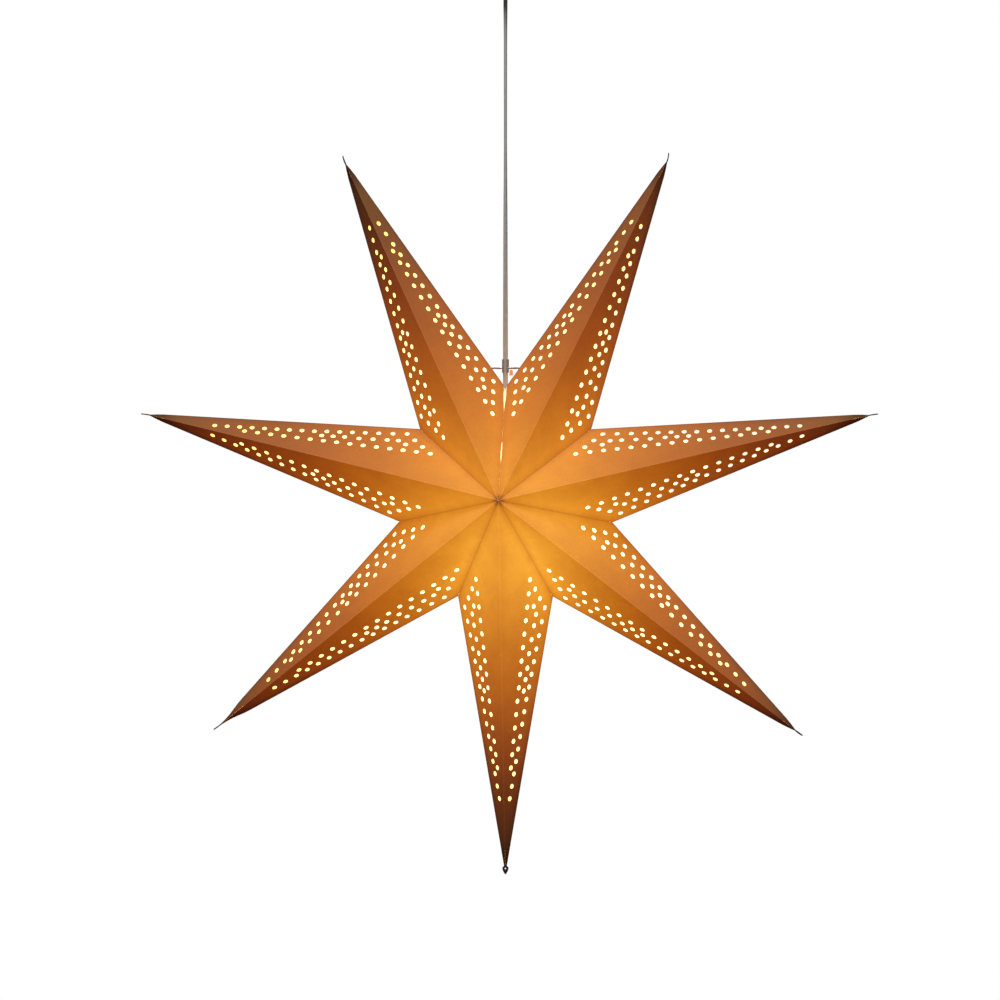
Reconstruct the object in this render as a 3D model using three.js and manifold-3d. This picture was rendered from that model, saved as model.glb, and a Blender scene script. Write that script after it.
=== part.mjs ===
// Seven-point folded paper star lantern that hangs on its cord from a ceiling cup.
// Millimetres. Z is up, the star's axis runs along Y, and its front faces -Y.
// The origin is the middle of the face that sits on the ceiling.
import * as THREE from "three";
import { mergeVertices } from "three/addons/utils/BufferGeometryUtils.js";
import Module from "manifold-3d";

const wasm = await Module();
wasm.setup();

// Clearances
const gap = 0.3; // between parts that touch on the real lantern
const fold = 0.4; // between two paper facets that share a fold
const cordFit = 0.3; // between the cord and what it passes through
const threadFit = 0.35; // between the lamp's cap and the holder's thread

// Paper star
const points = 7;
const starDrop = 582; // ceiling to the star's middle
const tipRadius = 400; // star's middle to the end of a tip tab
const valleyRadius = 116; // star's middle to the bottom of the notch between two points
const halfDepth = 85; // star's middle to the front or back pole
const paper = 0.4; // thickness of one facet with its glue flap
const tabLength = 10;
const tabWidth = 6.6;
const tabNeck = 3.3;
const tabPaper = 1.2; // several layers glued flat
const tabHole = 2.2; // diameter
const tabHoleBack = 6.3; // tab's end to the middle of its hole
const tabShoulder = 6.8; // tab's end to its widest place
const tabNeckBack = 8.9; // tab's end to its neck
const turnedTab = 4; // the bottom point's tab has twisted to face the front
const tabTurn = (80 * Math.PI) / 180;
const poleRelief = 1.6; // open radius where the seven points meet at a pole
const valleyRelief = 1.0; // corner taken off each facet at the bottom of a notch
const cordRoom = 1.6; // between the cord and the corners taken off at the seam
const flapWidth = 3.9;
const flapLength = 6.2;
const flapRise = 12.6; // flap's lower end above the bottom of the seam's notch

// Hanger
const hangerRise = 20.4; // wire above the bottom of the seam's notch
const wireDiameter = 1.8;
const wireInside = 7; // how far each end reaches into its point
const wireDip = 0.9; // how much lower each end is than the middle
const wireHole = 5.4; // punched hole in the side fold, diameter
const lugWidth = 6;

// Cord
const cordDiameter = 5.2;
const clampLength = 14;
const clampBelow = 4.6; // wire to the clamp's lower end
const clampWall = 1.1;
const clampMouth = 3.6; // width of the slot down the clamp's front
const gripLength = 7; // strain relief inside the holder's dome
const gripWall = 3;

// Lamp holder, E14
const shellDiameter = 28;
const shellLength = 42;
const holderWall = 1.3;
const domeLength = 22;
const domeShoulder = 0.35; // where the dome starts to close in, as a share of its length
const domeCurve = 0.68; // where it closes in faster
const domeCurveWidth = 0.86; // its width there, as a share of the shell's
const mouthDrop = 8; // holder's mouth below the star's middle
const threadDiameter = 14; // lamp cap
const screwShellWall = 0.5;
const screwShellLength = 21;
const coreLength = 33;
const contactHeight = 24; // centre contact above the holder's mouth
const contactStrip = 0.6;
const contactDiameter = 9;

// Lamp
const globeDiameter = 45;
const globeWall = 1.0;
const neckDiameter = 27;
const capLength = 19;
const capWall = 0.5;
const insulatorHeight = 2.4;
const insulatorDiameter = 11;
const tipContactHeight = 1.6;
const tipContactDiameter = 5;
const collarLength = 9;
const collarDiameter = 17;
const collarBore = 9;
const boardThickness = 1.2;
const boardDiameter = 23;

// Ceiling fitting
const cupDiameter = 78;
const cupHeight = 32;
const cupWall = 1.4;
const cupTaper = 3; // the cup's floor is this much smaller in radius than its rim
const plateDiameter = 62;
const plateThickness = 1.6;
const glandDiameter = 13;
const glandLength = 12;
const glandFlange = 3; // beyond the gland's body
const glandFlangeHeight = 1.8;
const nutWidth = 17; // across flats
const nutHeight = 4;
const blockLength = 26;
const blockWidth = 14;
const blockHeight = 11;
const wireWay = 2; // radius of the two wire holes through the terminal block
const swingGap = 0.5; // more room under the gland for the cord to swing
const ringGap = 1.3; // cord's pivot to the top of the guide ring
const ringHeight = 3;
const ringWall = 1.1;
const ringPlay = 1.2; // between the guide ring and the cord

// Derived sizes
const halfWedge = Math.PI / points;
const cordRadius = cordDiameter / 2;
const cordBore = cordRadius + cordFit;
const cordRelief = cordRadius + cordRoom;
const wireRadius = wireDiameter / 2;
const starZ = -starDrop;
const wireZ = starZ + valleyRadius + hangerRise;
const mouthZ = starZ - mouthDrop;
const shellTopZ = mouthZ + shellLength;
const domeTopZ = shellTopZ + gap + domeLength;
const gripTopZ = domeTopZ - holderWall - gap;
const cordEndZ = gripTopZ - gripLength;
const contactZ = mouthZ + contactHeight;
const glandBottomZ = -cupHeight - glandLength * 0.45;
const pivotZ = glandBottomZ - cordFit - swingGap;
const roundSteps = 36;

const group = new THREE.Group();

function material(color, roughness, metalness = 0) {
  return () => new THREE.MeshStandardMaterial({ color, roughness, metalness });
}

const paperMaterial = material(0xb4632e, 0.85);
const tabMaterial = material(0x3a2114, 0.85);
const cordMaterial = material(0x8f857c, 0.55);
const clampMaterial = material(0xc9c6c0, 0.3);
const steelMaterial = material(0x9a9a9c, 0.35, 0.9);
const brassMaterial = material(0xb79a55, 0.35, 0.9);
const whiteMaterial = material(0xe9e7e2, 0.4);
const coreMaterial = material(0xd9d4c8, 0.6);
const opalMaterial = material(0xfff3dc, 0.3);
const boardMaterial = material(0xf1f1ee, 0.5);
const insulatorMaterial = material(0x1d1b1f, 0.4);
const nickelMaterial = material(0xb9b8b2, 0.3, 0.9);

function addMesh(name, geometry, makeMaterial) {
  const mesh = new THREE.Mesh(geometry, makeMaterial());
  mesh.name = name;
  group.add(mesh);
  return mesh;
}

function clean(geometry) {
  geometry.deleteAttribute("normal");
  geometry.deleteAttribute("uv");
  return mergeVertices(geometry, 1e-4);
}

function toManifold(geometry) {
  const g = clean(geometry.clone());
  return new wasm.Manifold(
    new wasm.Mesh({
      numProp: 3,
      vertProperties: new Float32Array(g.attributes.position.array),
      triVerts: new Uint32Array(g.index.array),
    }),
  );
}

function fromManifold(solid) {
  const mesh = solid.getMesh();
  const g = new THREE.BufferGeometry();
  g.setAttribute("position", new THREE.BufferAttribute(new Float32Array(mesh.vertProperties), 3));
  g.setIndex(new THREE.BufferAttribute(new Uint32Array(mesh.triVerts), 1));
  return g;
}

function cut(geometry, ...tools) {
  let solid = toManifold(geometry);
  for (const tool of tools) {
    solid = solid.subtract(toManifold(tool));
  }
  return fromManifold(solid);
}

// A solid of revolution about Z from [radius, height] corners in order around its section
function turned(corners, steps = roundSteps) {
  let area = 0;
  corners.forEach(([r, z], i) => {
    const [r2, z2] = corners[(i + 1) % corners.length];
    area += r * z2 - r2 * z;
  });
  const ordered = area > 0 ? corners : [...corners].reverse();
  const onAxis = ordered.filter(([r]) => r === 0).length;
  let profile = ordered.map(([r, z]) => new THREE.Vector2(r, z));
  if (onAxis === 2) {
    while (!(profile[0].x === 0 && profile[profile.length - 1].x === 0)) {
      profile = [...profile.slice(1), profile[0]];
    }
  } else {
    profile.push(profile[0].clone());
  }
  const g = new THREE.LatheGeometry(profile, steps);
  g.rotateX(Math.PI / 2);
  return g;
}

function disc(radius, bottom, top, steps = roundSteps) {
  return turned([[0, bottom], [radius, bottom], [radius, top], [0, top]], steps);
}

function ring(inner, outer, bottom, top, steps = roundSteps) {
  return turned([[inner, bottom], [outer, bottom], [outer, top], [inner, top]], steps);
}

function box(x, y, z, cx, cy, cz) {
  const g = new THREE.BoxGeometry(x, y, z);
  g.translate(cx, cy, cz);
  return g;
}

function barAlongX(radius, length, x, y, z, steps = 20) {
  const g = new THREE.CylinderGeometry(radius, radius, length, steps);
  g.rotateZ(Math.PI / 2);
  g.translate(x, y, z);
  return g;
}

// Point i of the star, counted clockwise from the seam at the top as seen from the front
function pointAngle(i) {
  return Math.PI / 2 - halfWedge - (i - 1) * 2 * halfWedge;
}

// A point's own frame: out along it, across it towards side a or b, and out of the front or back
function pointFrame(i, side, face) {
  const a = pointAngle(i);
  const across = side === "b" ? 1 : -1;
  return {
    out: new THREE.Vector3(Math.cos(a), 0, Math.sin(a)),
    across: new THREE.Vector3(Math.sin(a), 0, -Math.cos(a)).multiplyScalar(across),
    depth: new THREE.Vector3(0, face === "front" ? -1 : 1, 0),
  };
}

function placed(frame, [u, v, w]) {
  return new THREE.Vector3(0, 0, starZ)
    .addScaledVector(frame.out, u)
    .addScaledVector(frame.across, v)
    .addScaledVector(frame.depth, w);
}

function crossing(p, q, r) {
  const m = new THREE.Matrix3().set(...p.n, ...q.n, ...r.n).invert();
  return new THREE.Vector3(p.d, q.d, r.d).applyMatrix3(m).toArray();
}

function plane(normal, through) {
  const n = new THREE.Vector3(...normal).normalize();
  return { n: n.toArray(), d: n.dot(new THREE.Vector3(...through)) };
}

// One facet as [out, across, depth] planes: two faces, and the edges in order around it
function facetPlanes(relief) {
  const pole = new THREE.Vector3(0, 0, halfDepth);
  const tip = new THREE.Vector3(tipRadius, 0, 0);
  const valley = new THREE.Vector3(Math.cos(halfWedge), Math.sin(halfWedge), 0);
  valley.multiplyScalar(valleyRadius);
  const toTip = tip.clone().sub(pole);
  const toValley = valley.clone().sub(pole);
  const normal = toTip.clone().cross(toValley).normalize();
  const fromValley = tip.clone().sub(valley).normalize();
  fromValley.add(pole.clone().sub(valley).normalize()).normalize();
  const reliefAt = valley.clone().addScaledVector(fromValley, relief);
  const half = fold / 2;
  const inward = [Math.sin(halfWedge), -Math.cos(halfWedge), 0];
  return {
    outer: plane(normal.toArray(), pole.toArray()),
    inner: plane(normal.toArray(), pole.clone().addScaledVector(normal, -paper).toArray()),
    edges: [
      plane([0, 1, 0], [0, half, 0]),
      plane([1, 0, 0], [tipRadius - tabLength, 0, 0]),
      plane([0, 0, 1], [0, 0, half]),
      plane(fromValley.toArray(), reliefAt.toArray()),
      plane(inward, inward.map((c) => c * half)),
      plane([1, 0, 0], [poleRelief, 0, 0]),
    ],
  };
}

function facetGeometry(frame, relief) {
  const { outer, inner, edges } = facetPlanes(relief);
  const count = edges.length;
  const corners = [outer, inner].flatMap((face) =>
    edges.map((edge, i) => placed(frame, crossing(edge, edges[(i + 1) % count], face))),
  );
  const faces = [];
  for (let i = 1; i < count - 1; i++) {
    faces.push([0, i, i + 1], [count, count + i + 1, count + i]);
  }
  for (let i = 0; i < count; i++) {
    const j = (i + 1) % count;
    faces.push([i, count + i, j], [j, count + i, count + j]);
  }
  const volume = faces.reduce(
    (sum, [a, b, c]) => sum + corners[a].dot(corners[b].clone().cross(corners[c])),
    0,
  );
  const g = new THREE.BufferGeometry();
  const xyz = corners.flatMap((c) => c.toArray());
  g.setAttribute("position", new THREE.Float32BufferAttribute(xyz, 3));
  g.setIndex(faces.flatMap(([a, b, c]) => (volume > 0 ? [a, b, c] : [a, c, b])));
  return g;
}

function addFacets() {
  const hole = barAlongX(wireHole / 2, 4 * valleyRadius, 0, 0, wireZ);
  for (let i = 1; i <= points; i++) {
    for (const face of ["front", "back"]) {
      for (const side of ["a", "b"]) {
        const atSeam = (i === 1 && side === "a") || (i === points && side === "b");
        const frame = pointFrame(i, side, face);
        const whole = facetGeometry(frame, atSeam ? cordRelief : valleyRelief);
        addMesh(`facet_${i}_${face}_${side}`, atSeam ? cut(whole, hole) : whole, paperMaterial);
      }
    }
  }
}

// Flat doubled tab at the end of each point, in the plane of its two ridges unless it has twisted
function addTipTabs() {
  const head = tabWidth / 2;
  const neck = tabNeck / 2;
  const outline = [
    [0, 0], [tabShoulder * 0.15, head * 0.3], [tabShoulder * 0.5, head * 0.72],
    [tabShoulder * 0.8, head * 0.95], [tabShoulder, head], [(tabShoulder + tabNeckBack) / 2, head * 0.86],
    [tabNeckBack, neck], [tabLength - gap, neck],
  ];
  const upper = outline.map(([back, w]) => [tipRadius - back, w]);
  const lower = outline.slice(1).reverse().map(([back, w]) => [tipRadius - back, -w]);
  for (let i = 1; i <= points; i++) {
    const shape = new THREE.Shape([...upper, ...lower].map(([u, w]) => new THREE.Vector2(u, w)));
    const hole = new THREE.Path();
    hole.absarc(tipRadius - tabHoleBack, 0, tabHole / 2, 0, 2 * Math.PI, true);
    shape.holes.push(hole);
    const g = new THREE.ExtrudeGeometry(shape, {
      depth: tabPaper,
      bevelEnabled: false,
      curveSegments: 8,
    });
    g.translate(0, 0, -tabPaper / 2);
    g.rotateX(i === turnedTab ? tabTurn : 0);
    g.rotateY(-pointAngle(i));
    g.translate(0, 0, starZ);
    addMesh(`tip_tab_${i}`, clean(g), tabMaterial);
  }
}

// How far point 1's outer face next to the seam stands off the star's middle plane at x, z
function seamDepth(x, z) {
  const a = pointAngle(1);
  const out = x * Math.cos(a) + z * Math.sin(a);
  const across = Math.abs(x * Math.sin(a) - z * Math.cos(a));
  const valleyOut = valleyRadius * Math.cos(halfWedge);
  const valleyAcross = valleyRadius * Math.sin(halfWedge);
  const fall = (1 - valleyOut / tipRadius) / valleyAcross;
  return halfDepth * (1 - out / tipRadius - across * fall);
}

// Glue flap left standing at the seam, beside the cord, behind point 1's side fold
function addSeamFlap() {
  const inner = cordRadius + clampWall + 1.5 * gap;
  const lower = valleyRadius + flapRise;
  const behind = seamDepth(inner + flapWidth, lower) + gap + paper;
  const g = box(flapWidth, paper, flapLength, inner + flapWidth / 2, behind, starZ + lower + flapLength / 2);
  addMesh("seam_flap", g, paperMaterial);
}

// Where the seam's side fold is, across from the cord, at the wire's height
function wireAtFold() {
  const tip = placed(pointFrame(1, "a", "front"), [tipRadius, 0, 0]);
  return (hangerRise * tip.x) / (tip.z - starZ - valleyRadius);
}

// Steel wire through the clamp's lug, with one end inside each upper point
function addHangerAndClamp() {
  const behind = cordBore + wireRadius + gap;
  const edge = wireAtFold();
  const end = edge + wireInside;
  const stations = [[end, 0, wireDip], [edge, 0, 0], [lugWidth, behind, 0], [0, behind, 0]];
  const right = stations.map(([x, y, dip]) => new THREE.Vector3(x, y, wireZ - dip));
  const left = right.slice(0, -1).reverse().map((p) => new THREE.Vector3(-p.x, p.y, p.z));
  const section = new THREE.Shape().absarc(0, 0, wireRadius, 0, 2 * Math.PI);
  const wire = new THREE.ExtrudeGeometry(section, {
    steps: 20,
    bevelEnabled: false,
    curveSegments: 5,
    extrudePath: new THREE.CatmullRomCurve3([...right, ...left]),
  });
  addMesh("hanger_wire", clean(wire), steelMaterial);

  const bottom = wireZ - clampBelow;
  const sleeve = toManifold(disc(cordRadius + clampWall, bottom, bottom + clampLength));
  const lugDepth = behind + wireRadius + 3 * gap;
  const lug = toManifold(box(lugWidth, lugDepth, 1.6 * clampBelow, 0, lugDepth / 2, wireZ));
  const bore = toManifold(disc(cordBore, bottom - 1, bottom + clampLength + 1));
  const wireBore = toManifold(barAlongX(wireRadius + gap, 2 * lugWidth, 0, behind, wireZ));
  const slot = toManifold(box(clampMouth, 2 * cordRadius, 2 * clampLength, 0, -2 * cordRadius, bottom));
  const clamp = sleeve.add(lug).subtract(bore).subtract(wireBore).subtract(slot);
  addMesh("cord_clamp", fromManifold(clamp), clampMaterial);
}

// The hanging cord turns with the star; its tail stays in the ceiling cup
function addCord() {
  addMesh("pendant_cord", disc(cordRadius, cordEndZ, pivotZ, 12), cordMaterial);
  addMesh("cord_tail", disc(cordRadius, pivotZ + 4 * gap, -cupHeight / 2, 12), cordMaterial);
}

function addHolder() {
  const radius = shellDiameter / 2;
  const inner = radius - holderWall;
  const lip = threadDiameter / 2 + threadFit + screwShellWall + 3 * gap;
  const shell = [
    [lip, mouthZ], [radius, mouthZ], [radius, shellTopZ], [inner, shellTopZ],
    [inner, mouthZ + holderWall], [lip, mouthZ + holderWall],
  ];
  addMesh("holder_shell", turned(shell), whiteMaterial);

  const shoulder = shellTopZ + gap;
  const top = gripWall + cordBore + holderWall;
  const curveRadius = radius * domeCurveWidth;
  const curveZ = shoulder + domeLength * domeCurve;
  const dome = [
    [inner, shoulder], [radius, shoulder], [radius, shoulder + domeLength * domeShoulder],
    [curveRadius, curveZ], [top, domeTopZ], [cordBore, domeTopZ],
    [cordBore, domeTopZ - holderWall], [top - holderWall, domeTopZ - holderWall],
    [curveRadius - holderWall, curveZ - holderWall / 2],
    [inner, shoulder + domeLength * domeShoulder - holderWall / 2],
  ];
  addMesh("holder_dome", turned(dome), whiteMaterial);
  const grip = ring(cordBore, cordBore + gripWall - gap, gripTopZ - gripLength, gripTopZ);
  addMesh("cord_grip", grip, coreMaterial);

  const screwBore = threadDiameter / 2 + threadFit;
  const screwOuter = screwBore + screwShellWall;
  const screwBottom = mouthZ + holderWall + gap;
  const screwTop = screwBottom + screwShellLength;
  addMesh("screw_shell", ring(screwBore, screwOuter, screwBottom, screwTop), brassMaterial);

  const stripTop = contactZ + contactStrip;
  addMesh("centre_contact", disc(contactDiameter / 2, contactZ, stripTop), brassMaterial);
  const coreOuter = inner - gap;
  const core = [
    [0, stripTop + gap], [screwOuter + gap, stripTop + gap], [screwOuter + gap, screwBottom],
    [coreOuter, screwBottom], [coreOuter, mouthZ + coreLength], [0, mouthZ + coreLength],
  ];
  addMesh("holder_core", turned(core), coreMaterial);
}

function addLamp() {
  const tipTop = contactZ - gap;
  const insulatorTop = tipTop - tipContactHeight - gap;
  const capTop = insulatorTop - insulatorHeight - gap;
  const capBottom = capTop - capLength;
  const capRadius = threadDiameter / 2;
  const tip = disc(tipContactDiameter / 2, tipTop - tipContactHeight, tipTop);
  addMesh("lamp_contact", tip, nickelMaterial);
  const insulatorRadius = insulatorDiameter / 2;
  const insulator = [
    [0, insulatorTop - insulatorHeight], [insulatorRadius, insulatorTop - insulatorHeight],
    [tipContactDiameter / 2, insulatorTop], [0, insulatorTop],
  ];
  addMesh("lamp_insulator", turned(insulator), insulatorMaterial);
  const capShoulder = capTop - 3 * capWall;
  const capEye = insulatorRadius - 2 * capWall;
  const cap = [
    [capRadius, capBottom], [capRadius, capShoulder], [insulatorRadius, capTop],
    [capEye, capTop], [capEye, capTop - capWall],
    [capRadius - capWall, capShoulder - capWall], [capRadius - capWall, capBottom],
  ];
  addMesh("lamp_cap", turned(cap), nickelMaterial);

  const collarTop = capBottom - gap;
  const collarBottom = collarTop - collarLength;
  const collarTopRadius = collarDiameter / 2;
  const neck = neckDiameter / 2;
  const collar = [
    [collarBore / 2, collarBottom], [neck, collarBottom], [collarTopRadius, collarTop],
    [collarBore / 2, collarTop],
  ];
  addMesh("lamp_collar", turned(collar), whiteMaterial);
  const boardTop = collarBottom - gap;
  const board = disc(boardDiameter / 2, boardTop - boardThickness, boardTop);
  addMesh("led_board", board, boardMaterial);

  const radius = globeDiameter / 2;
  const rise = Math.sqrt(radius ** 2 - neck ** 2);
  const centre = collarBottom - gap - rise;
  const open = Math.asin(neck / radius);
  const arcSteps = 12;
  const arc = (r, from) =>
    Array.from({ length: arcSteps + 1 }, (_, k) => {
      const a = from + ((Math.PI - from) * k) / arcSteps;
      return [k === arcSteps ? 0 : r * Math.sin(a), centre + r * Math.cos(a)];
    });
  const innerRadius = radius - globeWall;
  const innerOpen = Math.asin((neck - globeWall) / innerRadius);
  const globe = [...arc(radius, open), ...arc(innerRadius, innerOpen).reverse()];
  addMesh("lamp_globe", turned(globe), opalMaterial);
}

function addCeilingFitting() {
  addMesh("ceiling_plate", disc(plateDiameter / 2, -plateThickness, 0), steelMaterial);
  const rim = cupDiameter / 2;
  const floorRadius = rim - cupTaper;
  const hole = glandDiameter / 2 + gap;
  const cup = [
    [rim, 0], [rim - cupWall, 0], [floorRadius - cupWall, cupWall - cupHeight],
    [hole, cupWall - cupHeight], [hole, -cupHeight], [floorRadius, -cupHeight],
  ];
  addMesh("canopy_cup", turned(cup), whiteMaterial);

  const flange = glandDiameter / 2 + glandFlange;
  const flangeTop = -cupHeight - gap;
  const glandTop = glandBottomZ + glandLength;
  const gland = [
    [cordBore, glandBottomZ], [glandDiameter / 2, glandBottomZ], [flange, flangeTop - glandFlangeHeight],
    [flange, flangeTop], [glandDiameter / 2, flangeTop], [glandDiameter / 2, glandTop],
    [cordBore, glandTop],
  ];
  addMesh("cord_gland", turned(gland), whiteMaterial);
  const nutBottom = cupWall - cupHeight + gap;
  const nut = disc(nutWidth / Math.sqrt(3), nutBottom, nutBottom + nutHeight, 6);
  addMesh("gland_nut", cut(nut, disc(hole, nutBottom - 1, nutBottom + nutHeight + 1)), whiteMaterial);

  const blockTop = -plateThickness - gap;
  const block = box(blockLength, blockWidth, blockHeight, 0, 0, blockTop - blockHeight / 2);
  const ways = [-blockLength / 4, blockLength / 4].map((x) => {
    const way = new THREE.CylinderGeometry(wireWay, wireWay, 2 * blockWidth, 16);
    way.translate(x, 0, blockTop - blockHeight / 2);
    return way;
  });
  addMesh("terminal_block", cut(block, ...ways), clampMaterial);

  const ringTop = pivotZ - ringGap;
  const ringInner = cordRadius + ringPlay;
  addMesh("guide_ring", ring(ringInner, ringInner + ringWall, ringTop - ringHeight, ringTop), clampMaterial);
}

addFacets();
addTipTabs();
addSeamFlap();
addHangerAndClamp();
addCord();
addHolder();
addLamp();
addCeilingFitting();

export default group;
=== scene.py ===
import math
import random

import bmesh
import bpy
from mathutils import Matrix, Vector
from mathutils.geometry import delaunay_2d_cdt


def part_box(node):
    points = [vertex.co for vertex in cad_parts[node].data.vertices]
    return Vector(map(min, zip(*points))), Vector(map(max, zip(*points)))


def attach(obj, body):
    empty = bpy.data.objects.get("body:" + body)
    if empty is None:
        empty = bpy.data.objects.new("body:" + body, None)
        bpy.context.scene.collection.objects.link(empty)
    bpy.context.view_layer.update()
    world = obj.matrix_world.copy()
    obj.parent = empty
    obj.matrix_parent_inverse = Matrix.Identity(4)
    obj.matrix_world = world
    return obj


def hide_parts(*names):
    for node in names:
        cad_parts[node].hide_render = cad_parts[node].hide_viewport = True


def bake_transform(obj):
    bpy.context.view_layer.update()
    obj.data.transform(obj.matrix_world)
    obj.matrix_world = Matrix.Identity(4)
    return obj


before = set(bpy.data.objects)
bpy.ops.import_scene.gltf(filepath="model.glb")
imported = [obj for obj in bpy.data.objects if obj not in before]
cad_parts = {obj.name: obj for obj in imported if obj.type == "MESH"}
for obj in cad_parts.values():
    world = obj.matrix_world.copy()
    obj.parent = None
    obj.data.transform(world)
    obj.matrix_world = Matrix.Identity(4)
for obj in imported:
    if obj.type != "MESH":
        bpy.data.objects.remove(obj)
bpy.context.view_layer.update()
scene = bpy.context.scene
mm = 0.001  # lengths are in metres, z is up, and the star's front faces -y

# Sizes of the whole star that its pieces share
star = {
    "points": 7,
    "middle": Vector((0, 0, -582 * mm)),
    "tipRadius": 400 * mm,
    "valleyRadius": 116 * mm,
    "halfDepth": 85 * mm,
    "tabLength": 10 * mm,
    "lamp": (7 * mm, 0, -617 * mm),  # where the glow comes from
}
halfWedge = math.pi / star["points"]


def makeCamera():
    look = {
        "place": (256.2 * mm, -2972.8 * mm, -481 * mm),
        "turn": 5.036,  # degrees to the left
        "tilt": -1.988,
        "lens": 101.78,
        "sensor": 36,
        "farthest": 60,  # metres
    }
    data = bpy.data.cameras.new("camera")
    data.sensor_width = look["sensor"]
    data.lens = look["lens"]
    data.clip_end = look["farthest"]
    camera = bpy.data.objects.new("camera", data)
    scene.collection.objects.link(camera)
    camera.location = look["place"]
    tilt, turn = math.radians(90 + look["tilt"]), math.radians(look["turn"])
    camera.rotation_euler = (tilt, 0, turn)
    scene.camera = camera


makeCamera()
scene.view_settings.view_transform = "Standard"
print("camera placed")


# Mesh helpers

def newObject(name, mesh, *materials):
    piece = bpy.data.objects.new(name, mesh)
    scene.collection.objects.link(piece)
    for material in materials:
        mesh.materials.append(material)
    return piece


# One visual piece for one CAD node, carried by one body
def fitPiece(mesh, node, body, slotName, *materials):
    piece = newObject(mesh.name, mesh, *materials)
    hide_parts(node)
    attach(piece, body)
    return piece


def newMesh(name, corners, faces, softAngle=35):
    mesh = bpy.data.meshes.new(name)
    mesh.from_pydata([tuple(c) for c in corners], [], faces)
    mesh.polygons.foreach_set("use_smooth", [True] * len(mesh.polygons))
    mesh.update()
    mesh.set_sharp_from_angle(angle=math.radians(softAngle))
    return mesh


def smoothStep(low, high, value):
    t = min(1, max(0, (value - low) / (high - low)))
    return t * t * (3 - 2 * t)


def turnsOf(steps, start=0.0):
    return [2 * math.pi * (k + start) / steps for k in range(steps)]


# Four-sided faces between rings of corners. A closed run joins its last ring to its first
def ringFaces(rings, sides, closed=True):
    faces = []
    for k in range(rings if closed else rings - 1):
        a, b = k * sides, (k + 1) % rings * sides
        for i in range(sides):
            j = (i + 1) % sides
            faces.append((a + i, a + j, b + j, b + i))
    return faces


# Faces of a tube with both ends covered
def sweptFaces(rings, sides):
    last = (rings - 1) * sides
    ends = [tuple(range(sides - 1, -1, -1)), tuple(last + i for i in range(sides))]
    return ringFaces(rings, sides, closed=False) + ends


# A tube of any section: stations are (middle, side axis, front axis), section points are (x, y)
def swept(name, stations, section):
    corners = [q + side * x + front * y for q, side, front in stations for x, y in section]
    return outwards(newMesh(name, corners, sweptFaces(len(stations), len(section)), 50))


def softenEdges(piece, width, angle=30):
    soft = piece.modifiers.new("softEdges", "BEVEL")
    soft.width = width
    soft.segments = 2
    soft.limit_method = "ANGLE"
    soft.angle_limit = math.radians(angle)


# Joins doubled corners and turns every face outward
def outwards(mesh, softAngle=None):
    work = bmesh.new()
    work.from_mesh(mesh)
    bmesh.ops.remove_doubles(work, verts=work.verts, dist=1e-7)
    bmesh.ops.recalc_face_normals(work, faces=work.faces)
    work.to_mesh(mesh)
    work.free()
    if softAngle:
        mesh.set_sharp_from_angle(angle=math.radians(softAngle))
    return mesh


# Node helpers

def addNode(tree, kind, **settings):
    node = tree.nodes.new(kind)
    for key, value in settings.items():
        setattr(node, key, value)
    return node


def feed(tree, socket, value):
    if isinstance(value, bpy.types.NodeSocket):
        tree.links.new(value, socket)
    else:
        socket.default_value = value


def sums(tree, operation, *values):
    node = addNode(tree, "ShaderNodeMath", operation=operation)
    for socket, value in zip(node.inputs, values):
        feed(tree, socket, value)
    return node.outputs[0]


# Runs smoothly from one value to another as the input goes from low to high
def between(tree, value, low, high, atLow, atHigh):
    node = addNode(tree, "ShaderNodeMapRange", interpolation_type="SMOOTHSTEP")
    for socket, given in zip(node.inputs, (value, low, high, atLow, atHigh)):
        feed(tree, socket, given)
    return node.outputs[0]


def noise(tree, coordinates, scale, detail=3.0, rough=0.6):
    node = addNode(tree, "ShaderNodeTexNoise")
    feed(tree, node.inputs["Vector"], coordinates)
    for name, value in (("Scale", scale), ("Detail", detail), ("Roughness", rough)):
        node.inputs[name].default_value = value
    return node.outputs[0]


def parted(tree, vector):
    node = addNode(tree, "ShaderNodeSeparateXYZ")
    tree.links.new(vector, node.inputs[0])
    return node.outputs


def mixed(tree, share, first, second, kind="MIX"):
    node = addNode(tree, "ShaderNodeMix", data_type="RGBA", blend_type=kind)
    feed(tree, node.inputs[0], share)
    feed(tree, node.inputs[6], first)
    feed(tree, node.inputs[7], second)
    return node.outputs[2]


# Colour, roughness and a bumpy surface
def surface(tree, shader, colour, rough, height, strength, depth):
    tree.links.new(colour, shader.inputs["Base Color"])
    tree.links.new(rough, shader.inputs["Roughness"])
    node = addNode(tree, "ShaderNodeBump")
    node.inputs["Strength"].default_value = strength
    node.inputs["Distance"].default_value = depth
    feed(tree, node.inputs["Height"], height)
    tree.links.new(node.outputs[0], shader.inputs["Normal"])


def startMaterial(name):
    material = bpy.data.materials.new(name)
    material.use_nodes = True
    tree = material.node_tree
    shader = tree.nodes["Principled BSDF"]
    place = addNode(tree, "ShaderNodeTexCoord").outputs["Object"]
    return material, tree, shader, place


# Spreads a noise pattern, which stays near its middle, over a range of values
def patterned(tree, pattern, atLow=0.0, atHigh=1.0):
    return between(tree, pattern, 0.3, 0.7, atLow, atHigh)


fineDepth = 0.2 * mm  # of the surface of hard pieces and the cord
paperDepth = 0.4 * mm


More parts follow.
